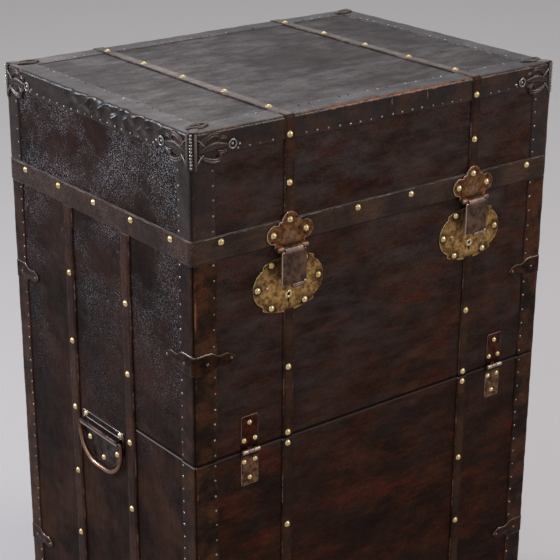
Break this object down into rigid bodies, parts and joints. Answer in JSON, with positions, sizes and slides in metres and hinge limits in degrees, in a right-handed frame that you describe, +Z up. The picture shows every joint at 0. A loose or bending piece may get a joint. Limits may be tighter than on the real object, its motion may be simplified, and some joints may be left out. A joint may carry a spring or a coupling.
{
  "type": "wardrobe trunk",
  "caption": "Upright leather-covered wardrobe trunk with a hinged lid, a fall front with side returns, hasp locks, brass-studded straps, iron corners and drop handles.",
  "frame": {"origin": "on the floor, under the middle of the trunk's bounding box", "axes": "+Z up, -Y towards the front with the locks, +X to the right seen from the front"},
  "size_m": [0.6844, 0.5027, 1.116],
  "materials": {
    "trunk_leather": "satin",
    "lid_leather": "satin",
    "binding_leather": "satin",
    "strap_leather": "matte",
    "band_leather": "matte",
    "trunk_board": "matte",
    "runner_wood": "matte",
    "lining_cloth": "matte",
    "corner_iron": "satin",
    "hinge_iron": "satin",
    "pin_steel": "satin",
    "rail_metal": "satin",
    "stud_brass": "polished",
    "lock_brass": "satin",
    "hasp_copper": "satin",
    "handle_copper": "satin"
  },
  "bodies": {
    "carcass": {"runners": "runner_wood", "base_panel": "trunk_board", "back_panel": "trunk_board", "side_panel_left": "trunk_board", "side_panel_right": "trunk_board", "front_panel": "trunk_board", "carcass_lining": "lining_cloth", "carcass_hide": "trunk_leather", "carcass_bindings": "binding_leather", "side_straps": "strap_leather", "front_lower_straps": "strap_leather", "back_straps": "strap_leather", "base_irons": "corner_iron", "carcass_brackets": "corner_iron", "carcass_studs": "stud_brass", "handle_plates": "handle_copper", "seam_hinge_lower_leaves": "hinge_iron", "seam_hinge_pins": "pin_steel", "lid_hinge_lower_leaves": "hinge_iron", "lid_hinge_pins": "pin_steel", "rail_sockets": "rail_metal", "garment_rail": "rail_metal"},
    "lid": {"lid_shell": "trunk_board", "lid_lining": "lining_cloth", "lid_hide": "lid_leather", "lid_bindings": "binding_leather", "lid_band": "band_leather", "lid_straps": "strap_leather", "lid_irons": "corner_iron", "lid_studs": "stud_brass", "hasp_plates": "hasp_copper", "hasp_pins": "pin_steel", "lid_hinge_upper_leaves": "hinge_iron"},
    "fall_front": {"door_panel": "trunk_board", "door_lining": "lining_cloth", "door_hide": "trunk_leather", "door_bindings": "binding_leather", "door_straps": "strap_leather", "door_brackets": "corner_iron", "door_studs": "stud_brass", "lock_plates": "lock_brass", "escutcheons": "lock_brass", "lock_cases": "lock_brass", "seam_hinge_upper_leaves": "hinge_iron"},
    "hasp_left": {"hasp_flap_left": "hasp_copper"},
    "hasp_right": {"hasp_flap_right": "hasp_copper"},
    "bail_left": {"bail_left": "handle_copper"},
    "bail_right": {"bail_right": "handle_copper"}
  },
  "joints": [
    {"name": "lid_hinge", "type": "hinge", "parent": "carcass", "child": "lid", "pos_m": [0, 0.243, 0.9325], "axis": [-1, 0, 0], "range_deg": [0, 110]},
    {"name": "fall_front_hinge", "type": "hinge", "parent": "carcass", "child": "fall_front", "pos_m": [0, -0.243, 0.63775], "axis": [1, 0, 0], "range_deg": [0, 66]},
    {"name": "hasp_left_hinge", "type": "hinge", "parent": "lid", "child": "hasp_left", "pos_m": [-0.172, -0.2482, 0.928], "axis": [-1, 0, 0], "range_deg": [0, 150]},
    {"name": "hasp_right_hinge", "type": "hinge", "parent": "lid", "child": "hasp_right", "pos_m": [0.172, -0.2482, 0.928], "axis": [-1, 0, 0], "range_deg": [0, 150]},
    {"name": "bail_left_hinge", "type": "hinge", "parent": "carcass", "child": "bail_left", "pos_m": [-0.3365, 0, 0.599], "axis": [0, 1, 0], "range_deg": [0, 175]},
    {"name": "bail_right_hinge", "type": "hinge", "parent": "carcass", "child": "bail_right", "pos_m": [0.3365, 0, 0.599], "axis": [0, -1, 0], "range_deg": [0, 175]}
  ],
  "couplings": [
    {"joint": "fall_front_hinge", "follows": "lid_hinge", "ratio": 0.6}
  ]
}
